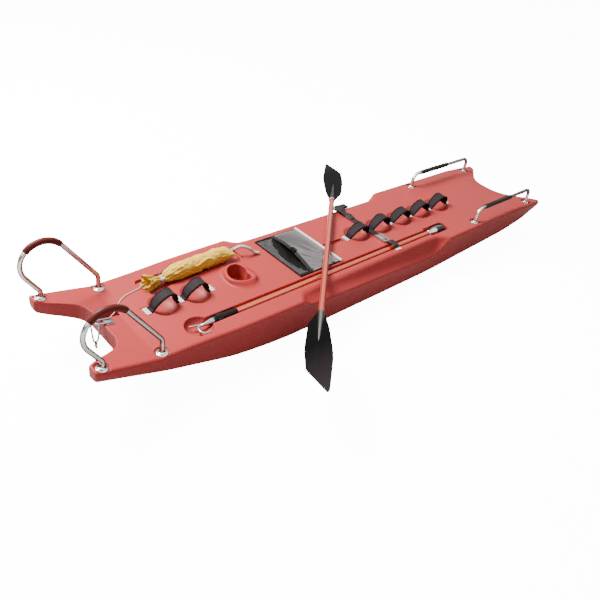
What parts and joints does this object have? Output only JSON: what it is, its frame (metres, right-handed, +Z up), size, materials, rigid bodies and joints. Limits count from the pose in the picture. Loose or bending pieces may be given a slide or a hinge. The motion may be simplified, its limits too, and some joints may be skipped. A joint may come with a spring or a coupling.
{
  "type": "ice rescue board",
  "caption": "Long moulded ice rescue board with a stern notch, a curved bow recess, tube handles, webbing loops, a boat hook in a groove, a throw bag, a pocket and a paddle laid across",
  "frame": {"origin": "On the ground under the middle of the hull's flat bottom", "axes": "+X to the bow, +Y to port, +Z up"},
  "size_m": [3.2265, 1.4952, 0.5296],
  "materials": {
    "black_cord": "braided elastic",
    "black_plastic": "satin",
    "black_rubber": "matte",
    "dull_steel": "satin",
    "grey_cloth": "coated, creased",
    "hull_plastic": "rotomoulded, fine grain",
    "orange_tube": "satin",
    "red_rubber": "matte",
    "steel": "polished stainless",
    "webbing": "woven webbing",
    "white_cord": "braided",
    "white_plastic": "smooth",
    "yellow_cloth": "woven nylon"
  },
  "bodies": {
    "board": {"bag_cord_aft": "black_cord", "bag_cord_fore": "black_cord", "bag_tail": "white_plastic", "bag_tie": "white_plastic", "bag_toggle": "white_plastic", "boat_hook_collar": "steel", "boat_hook_end_grip": "black_rubber", "boat_hook_head": "steel", "boat_hook_sleeve": "black_plastic", "boat_hook_socket": "black_plastic", "boat_hook_tube": "orange_tube", "bow_anchor_plate_1": "steel", "bow_anchor_plate_2": "steel", "bow_anchor_plate_3": "steel", "bow_anchor_plate_4": "steel", "bow_anchor_plate_5": "steel", "bow_anchor_plate_6": "steel", "bow_grip_port": "black_rubber", "bow_grip_starboard": "black_rubber", "bow_handle_port": "steel", "bow_handle_starboard": "steel", "bow_loop_1": "webbing", "bow_loop_2": "webbing", "bow_loop_3": "webbing", "bow_loop_4": "webbing", "bow_loop_5": "webbing", "cam_buckle": "dull_steel", "cross_strap": "webbing", "cross_strap_fold": "webbing", "cross_strap_tail": "webbing", "hull": "hull_plastic", "paddle_blade_port": "black_plastic", "paddle_blade_starboard": "black_plastic", "paddle_shaft": "orange_tube", "pocket_back_panel": "grey_cloth", "pocket_batten": "white_plastic", "pocket_buckle": "black_plastic", "pocket_front_panel": "grey_cloth", "pocket_strap": "webbing", "rescue_line": "white_cord", "stern_anchor_plate_1": "steel", "stern_anchor_plate_2": "steel", "stern_anchor_plate_3": "steel", "stern_grip_port": "red_rubber", "stern_grip_starboard": "red_rubber", "stern_handle_port": "steel", "stern_handle_starboard": "steel", "stern_loop_1": "webbing", "stern_loop_2": "webbing", "strap_anchor_port": "steel", "strap_anchor_starboard": "steel", "throw_bag": "yellow_cloth", "tow_eye": "steel"},
    "hook": {"snap_gate": "dull_steel", "snap_hook": "steel", "snap_swivel_collar": "black_plastic", "snap_swivel_eye": "steel"}
  },
  "joints": [
    {"name": "snap_hook_swing", "type": "hinge", "parent": "board", "child": "hook", "pos_m": [-1.451, 0.006, 0.24575], "axis": [0, 1, 0], "range_deg": [0, 100]}
  ]
}
